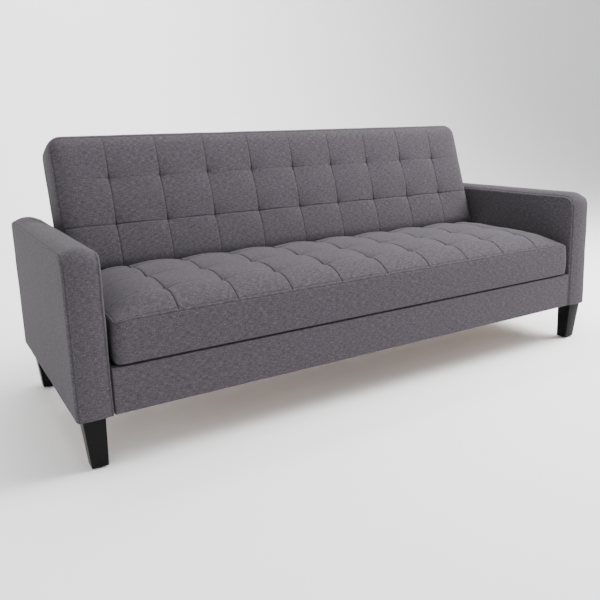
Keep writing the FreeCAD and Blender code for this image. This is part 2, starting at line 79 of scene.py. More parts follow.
def node(tree: bpy.types.NodeTree, kind: str, settings: dict[str, object] | None = None,
         **links: object) -> bpy.types.Node:
    """Add one shader node with its settings and its links or socket values.

    Args:
        tree: the material's node tree.
        kind: the node's type name.
        settings: attributes of the node itself.
        links: input socket name (spaces as underscores) to a value or to another node's output.

    Returns:
        The new node.
    """
    item = tree.nodes.new(kind)
    for name, value in (settings or {}).items():
        setattr(item, name, value)
    for name, value in links.items():
        key = int(name[1:]) if name[0] == "_" else name.replace("_", " ")
        if isinstance(value, bpy.types.NodeSocket):
            tree.links.new(value, item.inputs[key])
        else:
            item.inputs[key].default_value = value
    return item


def blank(name: str, source: str = "Object"
          ) -> tuple[bpy.types.Material, bpy.types.NodeTree, bpy.types.NodeSocket]:
    """Start a material.

    Args:
        name: the finish's name.
        source: the texture coordinate it is drawn on, Object or UV.

    Returns:
        The material, its emptied tree and the coordinates.
    """
    material = bpy.data.materials.new(name)
    material.use_nodes = True
    tree = material.node_tree
    tree.nodes.clear()
    return material, tree, node(tree, "ShaderNodeTexCoord").outputs[source]


def two_tone(tree: bpy.types.NodeTree, share: bpy.types.NodeSocket, dark: str,
             light: str) -> bpy.types.ShaderNodeValToRGB:
    """Add a ramp between two colours.

    Args:
        tree: the material's node tree.
        share: how far along the ramp each point is.
        dark: sRGB hex at 0.
        light: sRGB hex at 1.

    Returns:
        The ramp.
    """
    ramp = node(tree, "ShaderNodeValToRGB", Fac=share)
    ramp.color_ramp.elements[0].color = linear(dark)
    ramp.color_ramp.elements[1].color = linear(light)
    return ramp


def relief(tree: bpy.types.NodeTree, height: bpy.types.NodeSocket, strength: float,
           distance: float) -> bpy.types.NodeSocket:
    """A bumped normal from a height, of a strength and over a distance in metres."""
    return node(tree, "ShaderNodeBump", Strength=strength, Distance=distance, Height=height).outputs[0]


def close(tree: bpy.types.NodeTree, **inputs: object) -> None:
    """Add the surface shader with these inputs and join it to the material's output."""
    shader = node(tree, "ShaderNodeBsdfPrincipled", **inputs)
    node(tree, "ShaderNodeOutputMaterial", Surface=shader.outputs[0])


@dataclass(frozen=True)
class HeatherWeave:
    """Plain-woven melange polyester: two greys spun together, so the cloth looks dry and speckled.

    Real threads are about 1 mm apart. The speckle is drawn as short streaks along both thread
    directions of each cloth panel, a little wider than one thread so that they can be seen.
    """

    name: str = "heather_weave"
    dark: str = "353136"
    middle: str = "423e43"
    light: str = "524e53"
    thread: float = 1.3 * MM
    streak: float = 2.0 * MM
    stretch: tuple[float, float] = (8.0, 6.0)
    warp_share: float = 0.75
    fleck: float = 12 * MM
    fleck_share: float = 0.42
    span: tuple[float, float] = (0.79, 1.38)
    # painted shade: the cloth's colour falls to this share of itself on stitched lines and seams, where their
    # grooves lie in shade
    groove_shade_level: float = 0.52

    def streaks(self, tree: bpy.types.NodeTree, place: bpy.types.NodeSocket,
                scale: tuple[float, float, float], seed: float) -> bpy.types.NodeSocket:
        """Noise drawn out along one thread direction of the cloth.

        Args:
            tree: the material's node tree.
            place: the cloth's coordinates.
            scale: streaks a metre along each axis.
            seed: where in the noise this direction starts.

        Returns:
            The noise, 0 to 1.
        """
        mapped = node(tree, "ShaderNodeMapping", Vector=place, Scale=scale,
                      Location=(seed, seed, 0)).outputs[0]
        return node(tree, "ShaderNodeTexNoise", {"noise_dimensions": "2D"}, Vector=mapped, Scale=1.0,
                    Detail=2.0, Roughness=0.6).outputs["Fac"]

    def build(self) -> bpy.types.Material:
        """Make the cloth's material on the panels' own UV map, in metres.

        Returns:
            The material.
        """
        material, tree, place = blank(self.name, "UV")
        fine = 1 / self.streak
        weft = self.streaks(tree, place, (fine / self.stretch[0], fine, 1), 3.0)
        warp = self.streaks(tree, place, (fine, fine / self.stretch[1], 1), 11.0)
        cloud = node(tree, "ShaderNodeTexNoise", Vector=place, Scale=1 / self.fleck,
                     Detail=3.0, Roughness=0.7).outputs["Fac"]
        mixed = node(tree, "ShaderNodeMath", {"operation": "MULTIPLY_ADD"}, _0=warp, _1=self.warp_share,
                     _2=weft).outputs[0]
        speckle = node(tree, "ShaderNodeMath", {"operation": "MULTIPLY_ADD"}, _0=cloud,
                       _1=self.fleck_share, _2=mixed).outputs[0]
        share = node(tree, "ShaderNodeMapRange", Value=speckle, From_Min=self.span[0],
                     From_Max=self.span[1]).outputs[0]
        ramp = two_tone(tree, share, self.dark, self.light)
        ramp.color_ramp.elements.new(0.5).color = linear(self.middle)
        # painted shade: darken the cloth along the stitched lines and seams marked on the mesh
        groove_shade = node(tree, "ShaderNodeAttribute", {"attribute_name": "groove_shade"}).outputs["Fac"]
        shade = node(tree, "ShaderNodeMapRange", Value=groove_shade, To_Min=1.0, To_Max=self.groove_shade_level)
        colour = node(tree, "ShaderNodeVectorMath", {"operation": "SCALE"}, _0=ramp.outputs[0],
                      Scale=shade.outputs[0]).outputs[0]
        height = node(tree, "ShaderNodeMath", {"operation": "MULTIPLY_ADD"}, _0=mixed, _1=1.6,
                      _2=self.ribs(tree, place)).outputs[0]
        close(tree, Base_Color=colour, Roughness=0.95, Sheen_Weight=0.03, Sheen_Roughness=0.5,
              Specular_IOR_Level=0.15, Normal=relief(tree, height, 0.15, 0.5 * MM))
        return material

    def ribs(self, tree: bpy.types.NodeTree, place: bpy.types.NodeSocket) -> bpy.types.NodeSocket:
        """Crossing ribs, a thread apart each way.

        Args:
            tree: the material's node tree.
            place: the cloth's coordinates.

        Returns:
            The height of the ribs, -2 to 2.
        """
        parts = node(tree, "ShaderNodeSeparateXYZ", Vector=place).outputs
        height = None
        for part in (parts[0], parts[1]):
            wave = node(tree, "ShaderNodeMath", {"operation": "MULTIPLY"}, _0=part,
                        _1=2 * math.pi / self.thread).outputs[0]
            rib = node(tree, "ShaderNodeMath", {"operation": "SINE"}, _0=wave).outputs[0]
            height = rib if height is None else node(
                tree, "ShaderNodeMath", {"operation": "ADD"}, _0=height, _1=rib).outputs[0]
        return height


@dataclass(frozen=True)
class SatinLacquer:
    """Sprayed black lacquer on hardwood: nearly flat, with a soft sheen on its edges."""

    name: str = "satin_black_lacquer"
    dark: str = "080808"
    light: str = "121212"
    grain: float = 2.5 * MM

    def build(self) -> bpy.types.Material:
        """Make the lacquer's material, with faint grain along Z.

        Returns:
            The material.
        """
        material, tree, place = blank(self.name)
        fine = 1 / self.grain
        mapped = node(tree, "ShaderNodeMapping", Vector=place, Scale=(fine, fine, fine / 14))
        grain = node(tree, "ShaderNodeTexNoise", Vector=mapped.outputs[0], Scale=1.0, Detail=4.0,
                     Roughness=0.6).outputs["Fac"]
        ramp = two_tone(tree, grain, self.dark, self.light)
        gloss = node(tree, "ShaderNodeMapRange", Value=grain, To_Min=0.3, To_Max=0.42).outputs[0]
        close(tree, Base_Color=ramp.outputs[0], Roughness=gloss, Specular_IOR_Level=0.08,
              Normal=relief(tree, grain, 0.12, 0.4 * MM))
        return material


@dataclass(frozen=True)
class SawnTimber:
    """Sawn board or pressed board: long grain or short fibre, dry and unpolished."""

    name: str
    dark: str
    light: str
    grain: float
    stretch: float
    roughness: float = 0.78

    def build(self) -> bpy.types.Material:
        """Make the board's material, with grain along X.

        Returns:
            The material.
        """
        material, tree, place = blank(self.name)
        fine = 1 / self.grain
        mapped = node(tree, "ShaderNodeMapping", Vector=place, Scale=(fine / self.stretch, fine, fine))
        grain = node(tree, "ShaderNodeTexNoise", Vector=mapped.outputs[0], Scale=1.0, Detail=5.0,
                     Roughness=0.62, Distortion=0.6).outputs["Fac"]
        share = node(tree, "ShaderNodeMapRange", Value=grain, From_Min=0.3, From_Max=0.7)
        ramp = two_tone(tree, share.outputs[0], self.dark, self.light)
        close(tree, Base_Color=ramp.outputs[0], Roughness=self.roughness,
              Normal=relief(tree, grain, 0.25, 0.5 * MM))
        return material


@dataclass(frozen=True)
class Metal:
    """Steel, zinc plated or stove enamelled: fine mottling in its gloss, no visible brushing."""

    name: str
    dark: str
    light: str
    metallic: float
    roughness: float
    roughness_swing: float = 0.07
    mottle: float = 4 * MM

    def build(self) -> bpy.types.Material:
        """Make the metal's material.

        Returns:
            The material.
        """
        material, tree, place = blank(self.name)
        mottle = node(tree, "ShaderNodeTexNoise", Vector=place, Scale=1 / self.mottle,
                      Detail=3.0).outputs["Fac"]
        ramp = two_tone(tree, mottle, self.dark, self.light)
        gloss = node(tree, "ShaderNodeMapRange", Value=mottle,
                     To_Min=self.roughness - self.roughness_swing,
                     To_Max=self.roughness + self.roughness_swing).outputs[0]
        close(tree, Base_Color=ramp.outputs[0], Metallic=self.metallic, Roughness=gloss,
              Normal=relief(tree, mottle, 0.08, 0.3 * MM))
        return material


@dataclass(frozen=True)
class Felted:
    """Bonded fibre, open foam or soft rubber: matt, with a fine random surface."""

    name: str
    dark: str
    light: str
    cell: float
    depth: float = 0.4

    def build(self) -> bpy.types.Material:
        """Make the material, on round cells.

        Returns:
            The material.
        """
        material, tree, place = blank(self.name)
        cells = node(tree, "ShaderNodeTexVoronoi", Vector=place, Scale=1 / self.cell)
        ramp = two_tone(tree, cells.outputs["Distance"], self.dark, self.light)
        close(tree, Base_Color=ramp.outputs[0], Roughness=0.9, Specular_IOR_Level=0.3,
              Normal=relief(tree, cells.outputs["Distance"], self.depth, 0.6 * MM))
        return material


class Finish(Enum):
    """The finishes of the sofa, by the record's material slots."""

    CLOTH = "upholstery"
    FOAM = "foam"
    LINING = "lining"
    TWINE = "twine"
    PINE = "pine"
    # painted shade: the boards seen in the gaps beside the pads are made black
    STAINED = "black_pine"
    HARDBOARD = "hardboard"
    LACQUER = "leg_black"
    RUBBER = "glide"
    ZINC = "zinc_steel"
    ENAMEL = "black_steel"


RECIPES = {
    # warm mid-grey speckle that reads as dry woven cloth
    Finish.CLOTH: HeatherWeave(),
    # pale cut foam, only seen where a cover ends
    Finish.FOAM: Felted("cream_foam", "d8cfae", "e9e2c9", 1.5 * MM),
    # dull black underside cloth, so that the seat's bottom falls back
    Finish.LINING: Felted("black_bonded_lining", "101011", "232324", 1.2 * MM),
    # grey ties, a shade lighter than the cloth
    Finish.TWINE: Felted("waxed_twine", "4a464b", "6d6870", 0.8 * MM),
    # warm long grain for the frames
    Finish.PINE: SawnTimber("sawn_pine", "a67c4c", "d3b07c", 5 * MM, 16.0),
    # the same boards made near-black as painted shade, so that the gaps beside the pads stay dark
    Finish.STAINED: SawnTimber("painted_shade_black_pine", "0c0b0b", "191817", 5 * MM, 16.0),
    # brown short-fibred board for the box floor and the backs of panels
    Finish.HARDBOARD: SawnTimber("pressed_hardboard", "5e4026", "7d5a39", 1.6 * MM, 1.5),
    # near-black satin legs
    Finish.LACQUER: SatinLacquer(),
    # matt black pads under the legs
    Finish.RUBBER: Felted("black_rubber", "141414", "262626", 1.0 * MM, 0.2),
    # bright, slightly mottled fixings
    Finish.ZINC: Metal("zinc_plated_steel", "9a9b98", "b9bab5", 1.0, 0.38),
    # smooth black hinge plates with a low gloss
    Finish.ENAMEL: Metal("black_enamelled_steel", "0f0f10", "1c1c1e", 0.0, 0.36),
}
MATERIALS = {finish: recipe.build() for finish, recipe in RECIPES.items()}


# --- soft shells --------------------------------------------------------------------------------
def stops(start: float, end: float, marks: list[float], near: list[float], step: float) -> np.ndarray:
    """Lattice positions from start to end, close together beside each mark and the two ends.

    Args:
        start: the first position.
        end: the last position.
        marks: positions that need a lattice line of their own.
        near: distances from a mark, or an end, that also get a line.
        step: the widest spacing elsewhere.

    Returns:
        The sorted positions.
    """
    anchors = sorted({start, end, *marks})
    found = set(anchors)
    for low, high in zip(anchors, anchors[1:]):
        room = (high - low) / 2
        close_by = [offset for offset in near if offset < room * 0.8]
        inner_low = low + (close_by[-1] if close_by else 0)
        inner_high = high - (close_by[-1] if close_by else 0)
        found.update(low + offset for offset in close_by)
        found.update(high - offset for offset in close_by)
        count = max(1, round((inner_high - inner_low) / step))
        found.update(inner_low + (inner_high - inner_low) * i / count for i in range(1, count))
    return np.array(sorted(found))


def rise(distance: np.ndarray, radius: float) -> np.ndarray:
    """A quarter ellipse: 0 at an edge, 1 from one radius inwards."""
    inside = np.clip(distance / radius, 0, 1)
    return np.sqrt(np.clip(1 - (1 - inside) ** 2, 0, 1))


def swell(distance: np.ndarray, radius: float) -> np.ndarray:
    """0 at an edge and 1 from one radius inwards, rising at a slope from the very edge."""
    return 1 - (1 - np.clip(distance / radius, 0, 1)) ** 2.2


def nearness(distance: np.ndarray, reach: float) -> np.ndarray:
    """1 at an edge, falling evenly to 0 at its reach."""
    return np.clip(1 - distance / reach, 0, 1)


def shares(first: np.ndarray, second: np.ndarray) -> tuple[np.ndarray, np.ndarray]:
    """Share a push between two sides that meet at a round corner, square to disc.

    Args:
        first: how near the first side is, 0 to 1.
        second: how near the second side is, 0 to 1.

    Returns:
        The share of each side's push.
    """
    return first * np.sqrt(1 - second ** 2 / 2), second * np.sqrt(1 - first ** 2 / 2)


def ease(value: np.ndarray) -> np.ndarray:
    """A smooth step from 0 to 1."""
    value = np.clip(value, 0, 1)
    return value * value * (3 - 2 * value)


@dataclass
class SoftShell:
    """A closed cloth shell on a lattice: long sides a and b, thickness c, its face towards +c.

    corners gives the plan's corner radii by the signs of a and b, and lined_side names the side
    that carries the black lining, such as "c-". drift is how unevenly the cloth may lie.
    """

    name: str
    body: str
    stands_for: tuple[str, ...]
    a: np.ndarray
    b: np.ndarray
    c: np.ndarray
    corners: dict[tuple[int, int], float] = field(default_factory=dict)
    fill: float = 0.9
    lined_side: str = ""
    lining_margin: float = 22 * MM
    drift: float = 1.6 * MM

    def lattice(self) -> tuple[np.ndarray, list[tuple[int, ...]], np.ndarray]:
        """Number the lattice points of the six sides.

        Returns:
            The integer places of the points, the quads facing outwards, and each quad's side
            (0 and 1 for low and high a, 2 and 3 for b, 4 and 5 for c).
        """
        counts = (len(self.a), len(self.b), len(self.c))
        index: dict[tuple[int, int, int], int] = {}
        quads, sides = [], []

        def point(place: tuple[int, int, int]) -> int:
            """The number of a lattice point."""
            return index.setdefault(place, len(index))

        for axis in range(3):
            u, v = (axis + 1) % 3, (axis + 2) % 3
            for high in (0, 1):
                level = (counts[axis] - 1) * high
                for i in range(counts[u] - 1):
                    for j in range(counts[v] - 1):
                        ring = []
                        for du, dv in ((0, 0), (1, 0), (1, 1), (0, 1)):
                            place = [0, 0, 0]
                            place[axis], place[u], place[v] = level, i + du, j + dv
                            ring.append(point(tuple(place)))
                        quads.append(tuple(ring if high else reversed(ring)))
                        sides.append(axis * 2 + high)
        return np.array(list(index), dtype=int), quads, np.array(sides)

    def shape(self, a: np.ndarray, b: np.ndarray, c: np.ndarray) -> np.ndarray:
        """Turn lattice coordinates into the piece's own soft form; a plain block here."""
        return np.stack([a, b, c], axis=1)

    def place(self, local: np.ndarray) -> np.ndarray:
        """Carry points from the piece's own axes to the sofa's."""
        return local

    def round_corners(self, a: np.ndarray, b: np.ndarray) -> tuple[np.ndarray, np.ndarray]:
        """Round the corners of the plan, square to disc, so that lattice lines stay even.

        Args:
            a: lattice coordinates along the first side.
            b: lattice coordinates along the second side.

        Returns:
            Both coordinates, rounded.
        """
        a, b = a.copy(), b.copy()
        for (side_a, side_b), radius in self.corners.items():
            centre_a = self.a[-1] - radius if side_a > 0 else self.a[0] + radius
            centre_b = self.b[-1] - radius if side_b > 0 else self.b[0] + radius
            u = (a - centre_a) * side_a / radius
            v = (b - centre_b) * side_b / radius
            inside = (u > 0) & (v > 0)
            u, v = np.clip(u, 0, 1), np.clip(v, 0, 1)
            a = np.where(inside, centre_a + side_a * radius * u * np.sqrt(1 - v * v / 2), a)
            b = np.where(inside, centre_b + side_b * radius * v * np.sqrt(1 - u * u / 2), b)
        return a, b

    def build(self) -> bpy.types.Object:
        """Make the shell, puff it, cut its seams in, and hang it on its body.

        Returns:
            The finished piece.
        """
        self.places, quads, self.sides = self.lattice()
        self.flat = (self.a[self.places[:, 0]], self.b[self.places[:, 1]], self.c[self.places[:, 2]])
        local = self.shape(*self.flat)
        mesh = bpy.data.meshes.new(self.name)
        mesh.from_pydata(self.place(local).tolist(), [], quads)
        piece = bpy.data.objects.new(self.name, mesh)
        bpy.context.scene.collection.objects.link(piece)
        self.dress(piece)
        self.puff(piece)
        self.sew(piece)
        self.settle(piece)
        self.lay_cloth(piece)
        smooth = piece.modifiers.new("round_off", "SUBSURF")
        smooth.levels = smooth.render_levels = 1
        activate(piece)
        bpy.ops.object.modifier_apply(modifier=smooth.name)
        bpy.ops.object.shade_smooth()
        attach(piece, self.body)
        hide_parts(*self.stands_for)
        log.info("%s: %d faces", self.name, len(piece.data.polygons))
        return piece

    def dress(self, piece: bpy.types.Object) -> None:
        """Give the shell its cloth, and the black lining inside the margin of its hidden side.

        Args:
            piece: the shell, its faces still in lattice order.
        """
        piece.data.materials.append(MATERIALS[Finish.CLOTH])
        if not self.lined_side:
            return
        piece.data.materials.append(MATERIALS[Finish.LINING])
        axis, high = "abc".index(self.lined_side[0]), self.lined_side[1] == "+"
        lines = (self.a, self.b, self.c)
        for face, side in zip(piece.data.polygons, self.sides):
            if side != axis * 2 + high:
                continue
            places = self.places[list(face.vertices)]
            inside = True
            for other in {0, 1, 2} - {axis}:
                spots = lines[other][places[:, other]]
                inside &= spots.min() > lines[other][0] + self.lining_margin - HAIR
                inside &= spots.max() < lines[other][-1] - self.lining_margin + HAIR
            face.material_index = int(inside)

    def settle(self, piece: bpy.types.Object) -> None:
        """Let the cloth lie a little unevenly: low swells, slightly wavy seams.

        Args:
            piece: the shell.
        """
        spots = coordinates(piece)
        loose = self.loose()
        for number, spot in enumerate(spots):
            drift = Vector()
            for per_metre, share in ((9.0, 0.6), (24.0, 0.4)):
                drift += noise.noise_vector(Vector(spot) * per_metre) * share
            spots[number] += np.array(drift) * self.drift * loose[number]
        move_to(piece, spots)

    def loose(self) -> np.ndarray:
        """How free each point is to lie unevenly; all are, a little."""
        return np.ones(len(self.places))

    def groove_shade_marks(self) -> np.ndarray:
        """Painted shade along stitched lines: 1 on them and 0 elsewhere."""
        return np.zeros(len(self.places))

    def lay_cloth(self, piece: bpy.types.Object) -> None:
        """Lay each side's cloth flat in a UV map in metres, and mark the stitched lines for painted shade.

        Args:
            piece: the shell, its faces still in lattice order.
        """
        lines = (self.a, self.b, self.c)
        layer = piece.data.uv_layers.new(name="cloth")
        uvs = np.empty((len(piece.data.loops), 2))
        for face, side in zip(piece.data.polygons, self.sides):
            axis = side // 2
            flat = ((2, 1), (0, 2), (0, 1))[axis]
            places = self.places[list(face.vertices)]
            start, apart = face.loop_start, 0.37 * side
            for column, other in enumerate(flat):
                uvs[start:start + face.loop_total, column] = lines[other][places[:, other]] + apart
        layer.data.foreach_set("uv", uvs.ravel())
        # painted shade: how far each point's cloth colour is darkened along stitched lines and seams
        groove_shade = piece.data.attributes.new("groove_shade", "FLOAT", "POINT")
        groove_shade.data.foreach_set("value", self.groove_shade_marks())

    def puff(self, piece: bpy.types.Object) -> None:
        """Inflate the shell as cloth under a light pressure; a plain shell has nothing to puff."""

    def stitch_depth(self) -> np.ndarray:
        """How deep each point is drawn in by seams and stitches; a plain shell has none."""
        return np.zeros(len(self.places))

    def sew(self, piece: bpy.types.Object) -> None:
        """Press the seams and stitches in along the shell's normals.

        Args:
            piece: the puffed shell.
        """
        normals = np.empty(len(self.places) * 3)
        piece.data.vertex_normals.foreach_get("vector", normals)
        move_to(piece, coordinates(piece) - normals.reshape(-1, 3) * self.stitch_depth()[:, None])


def activate(piece: bpy.types.Object) -> None:
    """Select one object alone and make it active.

    Args:
        piece: the object.
    """
    for other in bpy.context.selected_objects:
        other.select_set(False)
    piece.select_set(True)
    bpy.context.view_layer.objects.active = piece


def mesh_coordinates(mesh: bpy.types.Mesh) -> np.ndarray:
    """The vertex positions of a mesh, a row each."""
    spots = np.empty(len(mesh.vertices) * 3)
    mesh.vertices.foreach_get("co", spots)
    return spots.reshape(-1, 3)


def coordinates(piece: bpy.types.Object) -> np.ndarray:
    """The vertex positions of an object's own mesh, a row each."""
    return mesh_coordinates(piece.data)


def move_to(piece: bpy.types.Object, spots: np.ndarray) -> None:
    """Write vertex positions back to a mesh."""
    piece.data.vertices.foreach_set("co", spots.ravel())
    piece.data.update()


def inflate(piece: bpy.types.Object, held: np.ndarray, pressure: float, frames: int,
            cap: float) -> None:
    """Run the cloth solver on a piece with some points held, and keep a capped result.

    Args:
        piece: the shell to puff.
        held: one weight a vertex, 1 where the cloth is sewn down.
        pressure: pressure inside the shell.
        frames: steps of the solver.
        cap: the furthest a point may move.
    """
    start = coordinates(piece)
    group = piece.vertex_groups.new(name="held")
    for weight in np.unique(held.round(2)):
        members = np.nonzero(held.round(2) == weight)[0]
        if weight > 0:
            group.add(members.tolist(), float(weight), "REPLACE")
    cloth = piece.modifiers.new("puff", "CLOTH")
    settings = cloth.settings
    settings.quality = 5
    settings.mass = 0.4
    settings.tension_stiffness = settings.compression_stiffness = 25
    settings.shear_stiffness = 12
    settings.bending_stiffness = 1.5
    settings.use_pressure = True
    settings.uniform_pressure_force = pressure
    settings.vertex_group_mass = group.name
    settings.effector_weights.gravity = 0
    cloth.collision_settings.use_collision = False
    cloth.point_cache.frame_end = frames + 1
    scene = bpy.context.scene
    for number in range(1, frames + 1):
        scene.frame_set(number)
    shaped = piece.evaluated_get(bpy.context.evaluated_depsgraph_get())
    moved = mesh_coordinates(shaped.to_mesh()) - start
    shaped.to_mesh_clear()
    length = np.linalg.norm(moved, axis=1, keepdims=True)
    soft = cap * np.tanh(length / cap) / np.maximum(length, 1e-9)
    piece.modifiers.remove(cloth)
    piece.vertex_groups.clear()
    move_to(piece, start + moved * soft)
    scene.frame_set(1)
    log.info("%s puffed, furthest %.1f mm", piece.name, float(length.max()) * 1000)


@dataclass
class TuftedPad(SoftShell):
    """A mattress half: a tufted top panel on a boxed border, hinged about the pivot line.

    Its own axes start at the pivot: a is the sofa's X, b runs along the pad, upwards on the back
    and to the rear on the seat, and c is the height over the pivot, square to the pad. lean is
    the pad's turn from upright, and low b is the back's foot and the seat's front.
    seam is the height of the border's upper seam; low and crest are the tufts' and the pillows'
    heights. border_bulge bows the border out at the two ends, at low b and at high b, and
    border_square is the power of that bow. end_reach limits the ends' bow to a distance from low
    b, and corner_drop lets the seam sink at the corners there.
    """

    lean: float = 0.0
    pivot: tuple[float, float] = (0.0, 0.0)
    columns: tuple[float, ...] = ()
    rows: tuple[float, ...] = ()
    seam: float = 0.0
    low: float = 30 * MM
    crest: float = 50 * MM
    edge_a: float = 80 * MM
    edge_b: tuple[float, float] = (50 * MM, 50 * MM)
    spread: float = 34 * MM
    pucker: tuple[float, float, float] = (1.5 * MM, 9 * MM, 22 * MM)
    pucker_folds: int = 8
    crease_reach: float = 18 * MM
    column_crease: float = 6 * MM
    row_crease: float = 3 * MM
    stitch: float = 4.5 * MM
    stitch_width: float = 1.6 * MM
    quilt_reach: float = 24 * MM
    quilt_fade: float = 8 * MM
    row_stitch: tuple[float, ...] = (0.7, 0.7, 0.7)
    top_stitch: float = 7 * MM
    hem_depth: float = 1.6 * MM
    seam_depth: float = 3 * MM
    crown: float = 8 * MM
    crown_at: float = 0.0
    border_bulge: tuple[float, float, float] = (3 * MM, 3 * MM, 3 * MM)
    border_square: float = 2.0
    end_reach: float = math.inf
    corner_drop: float = 0.0
    square_back: bool = False
    border_reach: float = 40 * MM
    line_rest: tuple[float, float] = (0.7, 0.4)
    pressure: float = 2.5
    cap: float = 6 * MM

    def place(self, local: np.ndarray) -> np.ndarray:
        """Stand the pad up at its lean on the pivot line.

        Args:
            local: points in the pad's own axes.

        Returns:
            The points in the sofa's axes.
        """
        a, b, c = local.T
        y = self.pivot[0] + b * math.sin(self.lean) - c * math.cos(self.lean)
        z = self.pivot[1] + b * math.cos(self.lean) + c * math.sin(self.lean)
        return np.stack([a, y, z], axis=1)

    def edge(self) -> np.ndarray:
        """Each point's distance in plan from the nearest edge."""
        a, b, _ = self.flat
        return np.minimum(np.minimum(a - self.a[0], self.a[-1] - a),
                          np.minimum(b - self.b[0], self.b[-1] - b))

    def is_top(self) -> np.ndarray:
        """Which points lie on the top panel, its seam included."""
        return np.isclose(self.flat[2], self.c[-1])

    def edge_lift(self, a: np.ndarray, b: np.ndarray) -> np.ndarray:
        """How far the top panel has risen from its seam.

        Args:
            a: the points' own a.
            b: the points' own b.

        Returns:
            0 at the edge to 1 inside.
        """
        side = swell(np.minimum(a - self.a[0], self.a[-1] - a), self.edge_a)
        return side * swell(b - self.b[0], self.edge_b[0]) * swell(self.b[-1] - b, self.edge_b[1])

    def pillow(self, a: np.ndarray, b: np.ndarray) -> np.ndarray:
        """Height of the quilted top panel over the seam.

        Args:
            a: the points' own a.
            b: the points' own b.

        Returns:
            The heights: a low crown, drawn down at tufts and along the lines between them, with
            small folds that fan out from every tuft.
        """
        bow = ((b - self.crown_at) / (self.b[-1] - self.b[0])) ** 2
        height = self.crest - self.seam - self.crown * bow
        pull = np.zeros_like(a)
        folds = np.zeros_like(a)
        fold_height, fold_start, fold_reach = self.pucker
        for column in self.columns:
            for row in self.rows:
                reach = np.hypot(a - column, b - row)
                turn = np.arctan2(b - row, a - column)
                pull = np.maximum(pull, np.exp(-reach / self.spread))
                rim = np.clip(reach / fold_start, 0, 1) * np.exp(-reach / fold_reach)
                folds += rim * np.cos(self.pucker_folds * turn + 9 * column + 31 * row)
        height = height - (self.crest - self.low) * pull + fold_height * folds
        near_column, near_row = self.off_lines(a, b)
        height -= self.column_crease * np.exp(-near_column / self.crease_reach) * (1 - pull)
        height -= self.row_crease * np.exp(-near_row / self.crease_reach) * (1 - pull)
        return height * self.edge_lift(a, b)

    def off_lines(self, a: np.ndarray, b: np.ndarray) -> tuple[np.ndarray, np.ndarray]:
        """Measure to the nearest tuft column and the nearest tuft row.

        Args:
            a: the points' own a.
            b: the points' own b.

        Returns:
            Each point's distance to the column, and to the row.
        """
        return (np.min([np.abs(a - column) for column in self.columns], axis=0),
                np.min([np.abs(b - row) for row in self.rows], axis=0))

    def shape(self, a: np.ndarray, b: np.ndarray, c: np.ndarray) -> np.ndarray:
        """Round the plan, raise the top panel and bow the border outwards.

        Args:
            a: lattice coordinates along the sofa.
            b: lattice coordinates along the pad.
            c: lattice coordinates through the pad.

        Returns:
            The points in the pad's own axes.
        """
        height = np.where(self.is_top(), self.seam + self.pillow(a, b), c)
        middle, half = (self.c[0] + self.seam) / 2, (self.seam - self.c[0]) / 2
        depth = (c - middle) / half
        bow = 1 - np.clip(depth if self.square_back else np.abs(depth), 0, 1) ** self.border_square
        ra, rb = self.round_corners(a, b)
        end = nearness(np.minimum(a - self.a[0], self.a[-1] - a), self.border_reach)
        low = nearness(b - self.b[0], self.border_reach)
        high = nearness(self.b[-1] - b, self.border_reach)
        across, along = shares(end, np.maximum(low, high))
        across = across * nearness(b - self.b[0], self.end_reach)
        risen = np.clip((c - self.c[0]) / (self.seam - self.c[0]), 0, 1)
        height = height - self.corner_drop * risen * end * low
        ra = ra + np.sign(a) * bow * self.border_bulge[0] * across
        rb = rb + bow * along * np.where(high > 0, self.border_bulge[2], -self.border_bulge[1])
        return np.stack([ra, rb, height], axis=1)

    def held(self) -> np.ndarray:
        """Tufts and seams are sewn down, creases are held a little, the rest is free.

        Returns:
            How firmly each point is held, 1 at most.
        """
        a, b, c = self.flat
        top = self.is_top()
        near_column, near_row = self.off_lines(a, b)
        on_column, on_row = near_column < HAIR, near_row < HAIR
        weight = np.where(top, 0.0, 1.0)
        weight[top & (self.edge() < HAIR)] = 1.0
        weight[top & on_column] = 0.35
        weight[top & on_row] = 0.15
        weight[top & on_column & on_row] = 1.0
        weight[~top & (c > self.c[0] + HAIR)] = 0.3
        return weight

    def loose(self) -> np.ndarray:
        """The hidden underside lies flat; everything else may drift."""
        return np.where(self.flat[2] > self.c[0] + HAIR, 1.0, 0.0)

    def puff(self, piece: bpy.types.Object) -> None:
        """Blow the quilted panel and its border up a little between the stitches."""
        inflate(piece, self.held(), self.pressure, frames=14, cap=self.cap)

    def quilt_line(self) -> np.ndarray:
        """Find the quilting stitches.

        Returns:
            Up to 1 on a stitched line, deepest by a tuft, and 0 away from the lines.
        """
        a, b, _ = self.flat
        near_column, near_row = self.off_lines(a, b)
        reach, width, fade = self.quilt_reach, self.stitch_width, self.quilt_fade
        rest = self.line_rest[0]
        strength = rest + (1 - rest) * np.exp(-near_row / reach)
        line = strength * np.exp(-(near_column / width) ** 2)
        for row, rest in zip(self.rows, self.row_stitch):
            strength = rest + (self.line_rest[1] - rest * 0.5) * np.exp(-near_column / reach)
            line = np.maximum(line, strength * np.exp(-((b - row) / width) ** 2))
        return np.where(self.is_top(), line * ease(self.edge() / fade), 0)

    def hem_line(self) -> np.ndarray:
        """How near each point is to the top-stitch beside the border seam."""
        line = np.exp(-((self.edge() - self.top_stitch) / (1.0 * MM)) ** 2)
        return np.where(self.is_top() & (self.hem_depth > 0), line, 0)

    def seam_line(self) -> np.ndarray:
        """Find the border's upper and lower seams.

        Returns:
            1 on a seam and 0 elsewhere.
        """
        c = self.flat[2]
        upper = np.isclose(c, self.c[-1]) & (self.edge() < HAIR)
        lower = np.isclose(c, self.c[0]) & (self.edge() < HAIR)
        return (upper | lower).astype(float)

